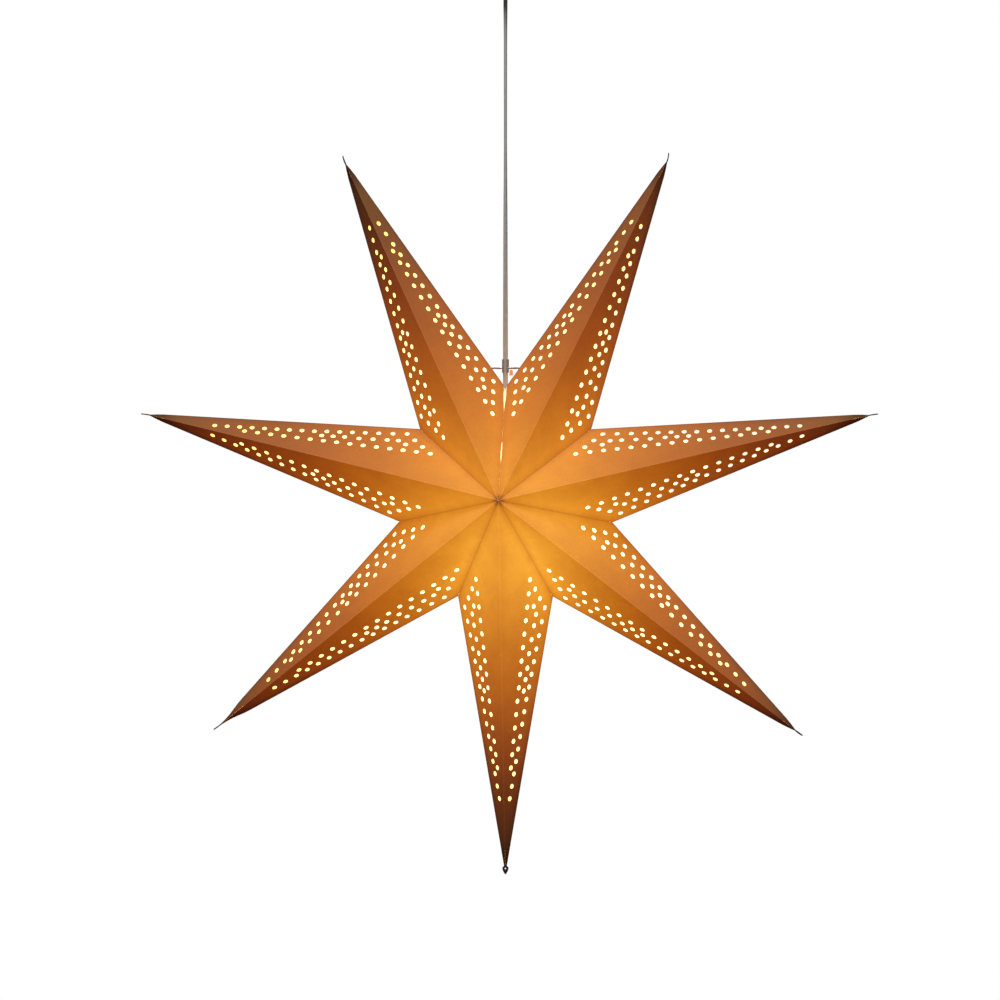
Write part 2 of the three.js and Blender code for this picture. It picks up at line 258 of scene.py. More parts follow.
# Hard finish with a little colour change, uneven gloss and a fine surface
def plainFinish(name, colour, second, rough, metal=0.0, scale=300, bump=0.1, coat=0.0, glow=None):
    material, tree, shader, place = startMaterial(name)
    cloudy = noise(tree, place, scale * 0.2)
    fine = noise(tree, place, scale * 6)
    tint = mixed(tree, patterned(tree, cloudy), (*colour, 1), (*second, 1))
    gloss = patterned(tree, noise(tree, place, scale), *rough)
    surface(tree, shader, tint, gloss, fine, bump, fineDepth)
    shader.inputs["Metallic"].default_value = metal
    shader.inputs["Coat Weight"].default_value = coat
    if glow:
        feed(tree, shader.inputs["Emission Color"], (*glow[0], 1))
        shader.inputs["Emission Strength"].default_value = glow[1]
    return material


# Hanging cord: two cores side by side, edge-on to the front higher up and broadside at the star
cordLook = {
    "core": 1.6 * mm,  # radius of each core's insulation
    "spread": 1.0 * mm,  # each core's middle from the cord's middle
    "waist": 0.93,  # how much of each core's round stands clear of the groove
    "coreSteps": 12,
    "top": -37.0 * mm,
    "tailEnd": -36.5 * mm,
    # Rounded top: height in mm, share of the width
    "dome": [(-37.0, 0.3), (-37.15, 0.62), (-37.4, 0.86), (-37.8, 0.97), (-38.2, 1.0)],
    "bottom": -534.3 * mm,
    "exit": -37.4 * mm,
    "width": 5.2 * mm,
    "step": 4 * mm,
    # Height in mm, degrees
    "turns": [(-37, 52), (-115, 88), (-200, 92), (-330, 50), (-430, 8), (-535, 0)],
    "grey": (0.86, 0.86, 0.84),
    "warm": (0.86, 0.78, 0.71),  # in the light of the lamp
    "warmFrom": (-280 * mm, -450 * mm),
}


def cordTurn(z):
    turns = cordLook["turns"]
    for (highZ, first), (lowZ, last) in zip(turns, turns[1:]):
        if z / mm >= lowZ:
            share = smoothStep(0, 1, (highZ - z / mm) / (highZ - lowZ))
            return math.radians(first + (last - first) * share)
    return math.radians(turns[-1][1])


def twinSection():
    core, spread, steps = cordLook["core"], cordLook["spread"], cordLook["coreSteps"]
    reach = math.acos(-spread / core) * cordLook["waist"]
    half = []
    for k in range(steps + 1):
        angle = -reach + 2 * reach * k / steps
        half.append((spread + core * math.cos(angle), core * math.sin(angle)))
    return half + [(-x, -y) for x, y in half]


def cordStation(z, share=1.0):
    turn = cordTurn(z)
    side = Vector((math.cos(turn), math.sin(turn), 0)) * share
    return Vector((0, 0, z)), side, Vector((-side.y, side.x, 0))


def cordStations(top, bottom):
    count = max(3, round((top - bottom) / cordLook["step"]) + 1)
    return [cordStation(top + (bottom - top) * k / (count - 1)) for k in range(count)]


def cordMaterial():
    material, tree, shader, place = startMaterial("greyCordSleeve")
    nearStar = between(tree, parted(tree, place)["Z"], *cordLook["warmFrom"], 0.0, 1.0)
    tint = mixed(tree, nearStar, (*cordLook["grey"], 1), (*cordLook["warm"], 1))
    mottled = mixed(tree, 0.25, tint, noise(tree, place, 120), "MULTIPLY")
    gloss = patterned(tree, noise(tree, place, 500), 0.32, 0.48)
    surface(tree, shader, mottled, gloss, noise(tree, place, 1800), 0.12, fineDepth)
    return material


def makeCord():
    sleeve = cordMaterial()
    dome = [cordStation(z * mm, share) for z, share in cordLook["dome"][:-1]]
    stations = dome + cordStations(cordLook["dome"][-1][0] * mm, cordLook["bottom"])
    mesh = swept("pendant_cord_flat", stations, twinSection())
    cord = newObject("pendant_cord_flat", mesh, sleeve)
    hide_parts("pendant_cord")
    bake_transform(cord)
    low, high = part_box("cord_tail")
    mesh = swept("cord_tail_flat", cordStations(high.z, cordLook["tailEnd"]), twinSection())
    fitPiece(mesh, "cord_tail", "ceiling_fitting", "cord", sleeve)


makeCord()
print("cord made")


# Paper. Its outside glows with the light that comes through, redder and dimmer far from the lamp
paperLook = {
    "base": (0.31, 0.148, 0.050),
    "baseDark": (0.26, 0.116, 0.038),
    "ridgeHighlightAndWear": (0.46, 0.30, 0.17),  # painted highlight along the ridge, where the crease is worn too
    "ridgeHighlightAndWearShare": (0.2 * mm, 1.0 * mm, 0.35, 0.0),  # from, to, and the share at each
    # painted shade, darker along the side fold
    "foldCreaseShade": (0.15, 0.066, 0.024),
    "foldCreaseShadeShare": (0.2 * mm, 1.8 * mm, 0.9, 0.0),
    "paintedTipShade": (0.035, 0.016, 0.007),  # painted shade at the tip, where the sheets are glued together
    "paintedTipShadeShare": (10 * mm, 48 * mm, 0.8, 0.0),
    "grainScale": 950,
    "cloudScale": 34,
    "fibreScale": 260,
    "red": (1.24, 0.149),  # strength at the lamp and fall-off in metres
    "green": (0.73, 0.081),
    "blue": (0.10, 0.048),
    "floors": (0.0, 0.008, 0.003),
    "redder": 0.75,  # shaded places lose less red
    "fold": (0.3 * mm, 2.4 * mm, 0.6, 1.0),  # from, to, and the glow left at each
    "bandLoss": (60 * mm, 230 * mm, 0.55, 0.12),  # glow lost beside the fold, from the tip inward: painted shade
    "bandWidth": 9 * mm,
    "tipStart": 8 * mm,
    "tip": (80 * mm, 0.28),  # where the darker tip ends, and the glow left at its end
    "shadedTip": (200 * mm, 0.1),  # the same on the two darker points
    "shadedPoints": (4, 7),
    # Shares of the glow: a painted highlight on the ridge, painted shade in the valley crease and
    # a dark dot at the pole
    "ridge": (0.2 * mm, 1.3 * mm, 1.1, 1.0),
    "valley": (0.1 * mm, 1.8 * mm, 0.78, 1.0),
    "valleySoft": (0.0, 10 * mm, 0.80, 1.0),
    "pole": (386 * mm, 394 * mm, 1.0, 0.25),
    "inside": (1.05, 0.94, 0.55),
    "insideFar": (0.84, 0.54, 0.15),
    "insideReach": (80 * mm, 360 * mm),  # from the lamp
    "cream": (0.84, 0.77, 0.60),
    "creamDark": (0.78, 0.70, 0.52),
}


def lampDistance(tree, place):
    node = addNode(tree, "ShaderNodeVectorMath", operation="DISTANCE")
    tree.links.new(place, node.inputs[0])
    node.inputs[1].default_value = star["lamp"]
    return node.outputs["Value"]


def fadeOut(tree, distance, strength, length, floor):
    share = sums(tree, "EXPONENT", sums(tree, "MULTIPLY", distance, -1 / length))
    return sums(tree, "ADD", sums(tree, "MULTIPLY", share, strength), floor)


def edgeCoordinates(tree, name):
    both = parted(tree, addNode(tree, "ShaderNodeUVMap", uv_map=name).outputs[0])
    return both["X"], both["Y"]


def paperOutside(name, tip):
    material, tree, shader, place = startMaterial(name)
    look = paperLook
    distance = lampDistance(tree, place)
    fold, ridge = edgeCoordinates(tree, "foldAndRidge")
    along, valley = edgeCoordinates(tree, "alongAndValley")
    grain = noise(tree, place, look["grainScale"], 4.0, 0.7)
    cloudy = noise(tree, place, look["cloudScale"], 3.0)
    fibres = noise(tree, place, look["fibreScale"], 5.0, 0.75)

    shade = between(tree, fold, *look["fold"])
    bandLoss = between(tree, along, *look["bandLoss"])
    band = between(tree, fold, 0.0, look["bandWidth"], 1.0, 0.0)
    for share in (
        sums(tree, "SUBTRACT", 1.0, sums(tree, "MULTIPLY", band, bandLoss)),
        between(tree, along, look["tipStart"], *tip, 1.0),
        between(tree, along, *look["pole"]),
        between(tree, ridge, *look["ridge"]),
        between(tree, valley, *look["valley"]),
        between(tree, valley, *look["valleySoft"]),
        between(tree, grain, 0.25, 0.75, 0.88, 1.12),
        patterned(tree, fibres, 0.95, 1.05),
        patterned(tree, cloudy, 0.93, 1.07),
    ):
        shade = sums(tree, "MULTIPLY", shade, share)
    glow = addNode(tree, "ShaderNodeCombineColor")
    redder = sums(tree, "POWER", shade, look["redder"])
    for socket, key, floor in zip(glow.inputs, ("red", "green", "blue"), look["floors"]):
        fade = fadeOut(tree, distance, *look[key], floor)
        feed(tree, socket, sums(tree, "MULTIPLY", fade, redder if key == "red" else shade))
    tree.links.new(glow.outputs[0], shader.inputs["Emission Color"])
    shader.inputs["Emission Strength"].default_value = 1.0

    colour = mixed(tree, patterned(tree, grain), (*look["baseDark"], 1), (*look["base"], 1))
    # Base colour with a painted highlight on the worn ridge, and painted shade at the side fold
    # and at the tip
    for edge, key in ((ridge, "ridgeHighlightAndWear"), (fold, "foldCreaseShade"), (along, "paintedTipShade")):
        share = between(tree, edge, *look[key + "Share"])
        colour = mixed(tree, share, colour, (*look[key], 1))
    surface(tree, shader, colour, patterned(tree, fibres, 0.72, 0.9), grain, 0.3, paperDepth)
    shader.inputs["Specular IOR Level"].default_value = 0.3
    return material


# The inside and the cut edges are cream and lit straight by the lamp
def paperInside():
    material, tree, shader, place = startMaterial("punchedPaperInside")
    look = paperLook
    distance = lampDistance(tree, place)
    far = between(tree, distance, *look["insideReach"], 0.0, 1.0)
    fibres = noise(tree, place, look["fibreScale"], 5.0, 0.75)
    light = mixed(tree, far, (*look["inside"], 1), (*look["insideFar"], 1))
    mottled = mixed(tree, 0.12, light, fibres, "MULTIPLY")
    tree.links.new(mottled, shader.inputs["Emission Color"])
    shader.inputs["Emission Strength"].default_value = 1.0
    cream = mixed(tree, fibres, (*look["creamDark"], 1), (*look["cream"], 1))
    surface(tree, shader, cream, patterned(tree, fibres, 0.75, 0.9), fibres, 0.2, paperDepth)
    return material


# Corners of one facet in its point's own directions: out, across, depth
tipCorner = Vector((star["tipRadius"], 0, 0))
valleyCorner = Vector((math.cos(halfWedge), math.sin(halfWedge), 0)) * star["valleyRadius"]
poleCorner = Vector((0, 0, star["halfDepth"]))
alongAxis = (valleyCorner - tipCorner).normalized()
toPole = poleCorner - tipCorner
riseAxis = (toPole - alongAxis * toPole.dot(alongAxis)).normalized()
facetNormal = riseAxis.cross(alongAxis).normalized()
if facetNormal.z < 0:
    facetNormal = -facetNormal
valleyFlat = Vector(((valleyCorner - tipCorner).length, 0))
poleFlat = Vector((toPole.dot(alongAxis), toPole.dot(riseAxis)))
ridgeWay = poleFlat.normalized()
valleyWay = (poleFlat - valleyFlat).normalized()

# Each edge: a point on it, the way in from it on the flat facet, and the plane it lies in
facetEdges = {
    "fold": (Vector((0, 0)), Vector((0, 1)), Vector((0, 0, 1))),
    "ridge": (Vector((0, 0)), Vector((ridgeWay.y, -ridgeWay.x)), Vector((0, 1, 0))),
    "valley": (
        valleyFlat,
        Vector((-valleyWay.y, valleyWay.x)),
        Vector((math.sin(halfWedge), -math.cos(halfWedge), 0)),
    ),
}

# Tip tabs: several layers of paper glued flat, punched for a thread
tabLook = {
    "thickness": 1.2 * mm,
    "bevel": 0.22 * mm,
    "holeRadius": 0.85 * mm,
    "holeBack": 6.3 * mm,
    "turned": 4,  # the tab that has twisted to face the front
    "turn": 80,  # degrees
    "outline": [  # half of the spade in mm, back from its end
        (0, 0), (1.0, 1.0), (3.4, 2.4), (5.4, 3.1),
        (6.8, 3.3), (7.9, 2.85), (8.9, 1.65), (9.95, 1.65),
    ],
    # Near-black colours of the tab paper: painted shade at the tips
    "dark": (0.03, 0.015, 0.008),
    "light": (0.08, 0.04, 0.02),
    "fibreScale": 700,
    # Bend and twist of each tab in degrees
    "bends": {1: (-14, 5), 2: (4, -3), 3: (-3, 3), 4: (0, 2), 5: (3, -4), 6: (-5, 2), 7: (6, 3)},
}

facetLook = {
    "thickness": 0.3 * mm,
    "holeRadius": 2.6 * mm,
    "holeSteps": 16,
    "holeRows": [  # first and last hole as (along, from the side fold), and how many, in mm
        ((82, 13.6), (189, 13.7), 9),
        ((202.2, 12.8), (243, 11.6), 4),
        ((257.4, 11.2), (287.4, 9.6), 3),
        ((115, 20), (300.7, 38.3), 14),
        ((197.6, 20), (222.1, 20.4), 3),
        ((237.6, 21.6), (267.6, 21.4), 3),
        ((279.6, 21.5), (279.6, 21.5), 1),
        ((287.8, 27.2), (287.8, 27.2), 1),
        ((296.7, 19.5), (315.6, 40), 3),
    ],
    "gridStep": 13 * mm,
    "gridRow": 0.9,  # rows of the grid are this much closer
    "gridFromEdge": 5 * mm,
    "gridFromHole": 6 * mm,
    "edgeStep": 7 * mm,
    "seamStep": 0.35,  # share of that step along the seam
    "poleHole": 0.35 * mm,
    "notch": 0.5 * mm,
    "seamNotch": 3.6 * mm,
    "upperGap": (1.8 * mm, 0.05, 0.23),  # width, and the shares of the seam where it closes
    "lowerGap": (0.6 * mm, 0.48, 0.54, 0.6, 0.68),  # width, and where it opens and closes
    "bow": 0.5 * mm,
    "bowEdge": 22 * mm,  # the sheet stays flat at its edges and bows fully this far in
    "bowWave": 55 * mm,
    "pinchFrom": 20 * mm,  # from the tip, where the facets start to close onto the tab
    "longPinch": 5,  # the lower left point, which is pinched together further
    "longPinchFrom": 42 * mm,
    "pinchTo": 0.42,
    "creaseGap": 0.05 * mm,  # each side of a fold, so that the facets turn freely
    "mitreEase": 0.06 * mm,
    "mitreReach": 1.5 * mm,
    "rim": 0.2 * mm,  # walls this close to a fold take the outside paper
    "liner": {  # strip of paper behind each fold, which the next facet slides over
        "width": 1.1 * mm,
        "thickness": 0.12 * mm,
        "clear": {"ridge": 0.12 * mm, "fold": 0.12 * mm, "valley": 0.5 * mm},
        "droop": {"ridge": 0.25 * mm, "fold": 0.25 * mm, "valley": 0.45 * mm},
        "ends": 4 * mm,
        "tipEnd": 28 * mm,
        "longTipEnd": 46 * mm,
        "overlap": 0.02 * mm,  # into the sheet that carries it
        "plain": 20 * mm,  # far enough from a fold to be unshaded
    },
}


def edgeDistance(name, flat):
    start, inward, plane = facetEdges[name]
    return (flat - start).dot(inward)


def onFacet(flat):
    return tipCorner + alongAxis * flat.x + riseAxis * flat.y


# How far a seam edge stands back from the seam, from its notch (0) to the pole (1)
def seamGap(share):
    upper, upperFrom, upperTo = facetLook["upperGap"]
    lower, openFrom, openTo, shutFrom, shutTo = facetLook["lowerGap"]
    lower *= smoothStep(openFrom, openTo, share) * (1 - smoothStep(shutFrom, shutTo, share))
    return upper * (1 - smoothStep(upperFrom, upperTo, share)) + lower


def pointsAlong(first, last, step):
    count = max(1, round((last - first).length / step))
    return [first.lerp(last, k / count) for k in range(count)]


def facetOutline(atSeam):
    step = facetLook["edgeStep"]
    end = star["tabLength"]
    foldStart = Vector((end / -alongAxis.x, 0))
    ridgeStart = ridgeWay * (end / star["tipRadius"]) * toPole.length
    notch = facetLook["seamNotch" if atSeam else "notch"]
    poleCut = facetLook["poleHole"]
    foldEnd = valleyFlat - Vector((notch, 0))
    valleyStart = valleyFlat + valleyWay * notch
    valleyEnd = poleFlat - valleyWay * poleCut
    ridgeEnd = poleFlat - ridgeWay * poleCut
    valleyStep = step * (facetLook["seamStep"] if atSeam else 1)
    valleyLine = pointsAlong(valleyStart, valleyEnd, valleyStep) + [valleyEnd]
    if atSeam:
        inward = facetEdges["valley"][1]
        whole = (poleFlat - valleyFlat).length
        shares = [(q - valleyFlat).length / whole for q in valleyLine]
        valleyLine = [q + inward * seamGap(share) for q, share in zip(valleyLine, shares)]
    return (
        pointsAlong(foldStart, foldEnd, step)
        + [foldEnd]
        + valleyLine
        + pointsAlong(ridgeEnd, ridgeStart, step)
        + [ridgeStart]
    )


def holeCentres():
    found = []
    for first, last, count in facetLook["holeRows"]:
        a, b = Vector(first) * mm, Vector(last) * mm
        found += [a.lerp(b, k / max(1, count - 1)) for k in range(count)]
    return found


def circleAt(centre, radius, steps):
    turns = turnsOf(steps, start=0.5)
    return [centre + Vector((math.cos(t), math.sin(t))) * radius for t in turns]


def insideOf(outline, q):
    odd = False
    for a, b in zip(outline, outline[1:] + outline[:1]):
        if (a.y > q.y) == (b.y > q.y):
            continue
        if q.x < (b.x - a.x) * (q.y - a.y) / (b.y - a.y) + a.x:
            odd = not odd
    return odd


# Triangles of a flat outline with holes, and extra points so that it can bend
def flatMesh(outline, circles, extra=()):
    loops = [outline] + circles
    points, edges = [], []
    for loop in loops:
        first = len(points)
        points += loop
        edges += [(first + k, first + (k + 1) % len(loop)) for k in range(len(loop))]
    points = points + list(extra)
    found = delaunay_2d_cdt(points, edges, [], 0, 1e-7)
    corners, triangles = found[0], found[2]
    kept = []
    for triangle in triangles:
        middle = sum((corners[k] for k in triangle), Vector((0, 0))) / 3
        if insideOf(outline, middle) and not any(insideOf(loop, middle) for loop in circles):
            kept.append(tuple(triangle))
    return [Vector(c) for c in corners], kept


# Two faces and the walls between them. The second face and the walls off the rim take the
# under material, and the liners the first
def slabMesh(name, triangles, upper, lower, flip=False, rim=None, liners=((), ()), under=1):
    count = len(upper)
    linerCorners, linerFaces = liners
    edges = {}  # in order, which a set would not keep
    for a, b, c in triangles:
        for edge in ((a, b), (b, c), (c, a)):
            edges[edge] = True
    walls = [(b, a, a + count, b + count) for a, b in edges if (b, a) not in edges]
    faces = list(triangles) + [(c + count, b + count, a + count) for a, b, c in triangles] + walls
    if flip:
        faces = [tuple(reversed(f)) for f in faces]
    faces += [tuple(k + 2 * count for k in f) for f in linerFaces]
    mesh = newMesh(name, list(upper) + list(lower) + list(linerCorners), faces)
    used = [0] * len(triangles) + [under] * len(triangles)
    used += [0 if rim and rim[wall[0]] and rim[wall[1]] else under for wall in walls]
    mesh.polygons.foreach_set("material_index", used + [0] * len(linerFaces))
    return mesh


def addUv(mesh, name, values):
    layer = mesh.uv_layers.new(name=name)
    flat = []
    for loop in mesh.loops:
        flat += values[loop.vertex_index]
    layer.data.foreach_set("uv", flat)


def pointFrame(i, side, face):
    angle = math.pi / 2 - halfWedge - (i - 1) * 2 * halfWedge
    outward = Vector((math.cos(angle), 0, math.sin(angle)))
    across = Vector((math.sin(angle), 0, -math.cos(angle))) * (1 if side == "b" else -1)
    return outward, across, Vector((0, -1 if face == "front" else 1, 0))


def placed(axes, q):
    outward, across, depth = axes
    return star["middle"] + outward * q.x + across * q.y + depth * q.z


# Closes the last of a point onto its flat tab
def pinched(q, i):
    start = facetLook["longPinchFrom" if i == facetLook["longPinch"] else "pinchFrom"]
    end = star["tipRadius"] - star["tabLength"]
    share = smoothStep(star["tipRadius"] - start, end, q.x)
    squeeze = 1 + (facetLook["pinchTo"] - 1) * share
    if i == tabLook["turned"]:
        return Vector((q.x, q.y, q.z * squeeze))
    return Vector((q.x, q.y * squeeze, q.z))


# The flat sheet of a plain facet and of one at the seam, punched and divided into triangles
def facetFlats():
    look = facetLook
    centres = holeCentres()
    circles = [circleAt(c, look["holeRadius"], look["holeSteps"]) for c in centres]
    flats = {}
    for atSeam in (False, True):
        outline = facetOutline(atSeam)
        extra = []
        step = look["gridStep"]
        for a in range(1, int(poleFlat.x / step) + 1):
            for b in range(1, int(poleFlat.y / step) + 1):
                q = Vector((a * step, b * step * look["gridRow"]))
                clear = min(edgeDistance(name, q) for name in facetEdges)
                apart = min((q - c).length for c in centres)
                if clear <= look["gridFromEdge"] or apart <= look["gridFromHole"]:
                    continue
                if insideOf(outline, q):
                    extra.append(q)
        flats[atSeam] = flatMesh(outline, circles, extra)
    return flats


# Folds whose liner this facet carries: the next facet over each of them has none
def linedFolds(i, face, side):
    lined = []
    if side == "a":
        lined.append("ridge")
    if face == "front":
        lined.append("fold")
    if side == "b" and i < star["points"]:
        lined.append("valley")
    return lined


def linerLine(name, i):
    look = facetLook["liner"]
    tipEnd = look["longTipEnd" if i == facetLook["longPinch"] else "tipEnd"]
    if name == "fold":
        return Vector((tipEnd, 0)), valleyFlat - Vector((look["ends"], 0))
    if name == "ridge":
        return ridgeWay * tipEnd, poleFlat - ridgeWay * look["ends"]
    return valleyFlat + valleyWay * look["ends"], poleFlat - valleyWay * look["ends"]


def volumeOf(corners, faces):
    total = 0
    for face in faces:
        a = corners[face[0]]
        for k in range(1, len(face) - 1):
            total += a.dot(corners[face[k]].cross(corners[face[k + 1]]))
    return total


# Each strip lies under its own facet and reaches past the fold, just clear of the next one
def linerStrips(i, face, side, axes):
    look = facetLook["liner"]
    thickness = facetLook["thickness"]
    corners, faces, folds, alongs = [], [], [], []
    for name in linedFolds(i, face, side):
        start, inward, plane = facetEdges[name]
        way = alongAxis * inward.x + riseAxis * inward.y
        nextWay = way - plane * (2 * way.dot(plane))
        nextNormal = facetNormal - plane * (2 * facetNormal.dot(plane))
        middle = (facetNormal + nextNormal).normalized()
        deep = 1 / facetNormal.dot(middle)
        below = thickness + look["clear"][name]
        section = []
        for down in (0, look["thickness"]):
            line = [
                way * look["width"] - facetNormal * (thickness - look["overlap"] + down),
                middle * (-deep * (below + down)),
                nextWay * look["width"] - nextNormal * (below + look["droop"][name] + down),
            ]
            section += line if down == 0 else reversed(line)
        first, last = linerLine(name, i)
        stations = pointsAlong(first, last, facetLook["edgeStep"]) + [last]
        strip = [placed(axes, onFacet(q) + offset) for q in stations for offset in section]
        stripFaces = sweptFaces(len(stations), len(section))
        local = [c - strip[0] for c in strip]
        if volumeOf(local, stripFaces) < 0:
            stripFaces = [tuple(reversed(f)) for f in stripFaces]
        faces += [tuple(k + len(corners) for k in f) for f in stripFaces]
        corners += strip
        # The strips sit at a fold, so they take the painted crease shade, and those at a valley
        # the painted valley shade too
        valley = 0 if name == "valley" else look["plain"]
        folds += [(0, look["plain"])] * len(strip)
        alongs += [(q.x, valley) for q in stations for offset in section]
    return corners, faces, folds, alongs


def makeFacets(outside, shaded, inside):
    look = facetLook
    flats = facetFlats()
    thickness = look["thickness"]
    mitres = []
    for name, (start, inward, plane) in facetEdges.items():
        way = alongAxis * inward.x + riseAxis * inward.y
        mitres.append((name, inward, thickness * facetNormal.dot(plane) / way.dot(plane)))
    chance = random.Random(7)
    for i in range(1, star["points"] + 1):
        for face in ("front", "back"):
            for side in ("a", "b"):
                node = f"facet_{i}_{face}_{side}"
                atSeam = (i, side) in ((1, "a"), (star["points"], "b"))
                flat, triangles = flats[atSeam]
                axes = pointFrame(i, side, face)
                bow = look["bow"] * chance.uniform(0.4, 1.0) * chance.choice((-1, 1))
                phase = chance.uniform(0, 6.28)
                upper, lower, folds, alongs, rim = [], [], [], [], []
                for q in flat:
                    away = {name: edgeDistance(name, q) for name in facetEdges}
                    free = smoothStep(0, look["bowEdge"], min(away.values()))
                    swell = facetNormal * bow * free * math.sin(q.x / look["bowWave"] + phase)
                    outer, inner = q.copy(), q.copy()
                    for name, inward, size in mitres:
                        share = max(0, 1 - max(0, away[name]) / look["mitreReach"])
                        outer = outer + inward * look["creaseGap"] * share
                        inner = inner + inward * (size + look["mitreEase"]) * share
                    rim.append(min(away.values()) < look["rim"])
                    upper.append(placed(axes, pinched(onFacet(outer) + swell, i)))
                    below = onFacet(inner) + swell - facetNormal * thickness
                    lower.append(placed(axes, pinched(below, i)))
                    folds.append((max(0, away["fold"]), max(0, away["ridge"])))
                    alongs.append((q.x, max(0, away["valley"])))
                a, b, c = (upper[k] for k in triangles[0])
                worldNormal = placed(axes, facetNormal) - star["middle"]
                flip = (b - a).cross(c - a).dot(worldNormal) < 0
                strips, stripFaces, stripFolds, stripAlongs = linerStrips(i, face, side, axes)
                liners = strips, stripFaces
                mesh = slabMesh(node + "_paper", triangles, upper, lower, flip, rim, liners)
                addUv(mesh, "foldAndRidge", folds * 2 + stripFolds)
                addUv(mesh, "alongAndValley", alongs * 2 + stripAlongs)
                skin = shaded if i in paperLook["shadedPoints"] else outside
                fitPiece(mesh, node, node, "star_paper", skin, inside)


outsidePaper = paperOutside("punchedPaperOutside", paperLook["tip"])
shadedPaper = paperOutside("punchedPaperShaded", paperLook["shadedTip"])
insidePaper = paperInside()
makeFacets(outsidePaper, shadedPaper, insidePaper)
print("facets made")


# A smooth curve through all the points
def smoothLine(points, parts=4):
    line = []
    for k in range(len(points) - 1):
        p0, p1 = points[max(0, k - 1)], points[k]
        p2, p3 = points[k + 1], points[min(len(points) - 1, k + 2)]
        for n in range(parts):
            t = n / parts
            curve = 2 * p1 + (p2 - p0) * t + (2 * p0 - 5 * p1 + 4 * p2 - p3) * t * t
            curve += (3 * p1 - p0 - 3 * p2 + p3) * t * t * t
            line.append(0.5 * curve)
    return line + [points[-1]]


def shadedTabPaper():
    material, tree, shader, place = startMaterial("gluedTipPaperShaded")
    fibres = noise(tree, place, tabLook["fibreScale"], 5.0, 0.75)
    tint = mixed(tree, patterned(tree, fibres), (*tabLook["dark"], 1), (*tabLook["light"], 1))
    surface(tree, shader, tint, patterned(tree, fibres, 0.6, 0.85), fibres, 0.35, paperDepth)
    return material


def makeTabs():
    dark = shadedTabPaper()
    edge = smoothLine([Vector(q) * mm for q in tabLook["outline"]])
    outline = edge + [Vector((q.x, -q.y)) for q in reversed(edge[1:])]
    hole = circleAt(Vector((tabLook["holeBack"], 0)), tabLook["holeRadius"], steps=18)
    flat, triangles = flatMesh(outline, [hole])
    half = tabLook["thickness"] / 2
    for i in range(1, star["points"] + 1):
        outward, across, depth = pointFrame(i, "b", "front")
        turn = math.radians(tabLook["turn"] if i == tabLook["turned"] else 0)
        wide = depth * math.cos(turn) + across * math.sin(turn)
        thick = outward.cross(wide)
        bend, twist = (math.radians(angle) for angle in tabLook["bends"][i])
        upper, lower = [], []
        for q in flat:
            share = 1 - q.x / star["tabLength"]
            angle = bend * share
            lean = across * math.sin(angle) * share * star["tabLength"]
            turnHere = twist * share
            w = wide * math.cos(turnHere) + thick * math.sin(turnHere)
            t = thick * math.cos(turnHere) - wide * math.sin(turnHere)
            centre = star["middle"] + outward * (star["tipRadius"] - q.x) + lean + w * q.y
            upper.append(centre + t * half)
            lower.append(centre - t * half)
        mesh = slabMesh(f"tip_tab_{i}_paper", triangles, upper, lower, under=0)
        tab = fitPiece(outwards(mesh, 35), f"tip_tab_{i}", f"point_{i}", "tab_paper", dark)
        softenEdges(tab, tabLook["bevel"])


makeTabs()


# Glue flap left standing beside the cord at the seam
flapLook = {
    "thickness": 0.3 * mm,
    "curl": 0.5 * mm,  # back at the top
    "step": 1.2 * mm,
    # Shares of the width and height, and what is added in mm
    "outline": [
        (0, 0, 0, 0), (1, 0, 0, 0.3), (0.92, 0.86, 0, 0), (0.7, 1, 0, 0), (0, 0.96, 0.4, 0),
    ],
    "finish": {
        "name": "litFlapPaper", "colour": (0.30, 0.15, 0.06), "second": (0.26, 0.12, 0.05),
        "rough": (0.7, 0.9), "scale": 400, "bump": 0.3, "glow": ((0.62, 0.25, 0.045), 1.0),
    },
}


def makeFlap():
    look = flapLook
    lit = plainFinish(**look["finish"])
    low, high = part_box("seam_flap")
    width, height = high.x - low.x, high.z - low.z
    outline = [
        Vector((width * across + right * mm, height * rise + up * mm))
        for across, rise, right, up in look["outline"]
    ]
    dense = []
    for a, b in zip(outline, outline[1:] + outline[:1]):
        dense += pointsAlong(a, b, look["step"])
    flat, triangles = flatMesh(dense, [])
    back, front = [], []
    for q in flat:
        curl = look["curl"] * (q.y / height) ** 2
        front.append(Vector((low.x + q.x, low.y + curl, low.z + q.y)))
        back.append(front[-1] + Vector((0, look["thickness"], 0)))
    mesh = outwards(slabMesh("seam_flap_paper", triangles, front, back, under=0), 35)
    fitPiece(mesh, "seam_flap", "facet_1_back_a", "star_paper", lit)


makeFlap()
print("tabs and flap made")


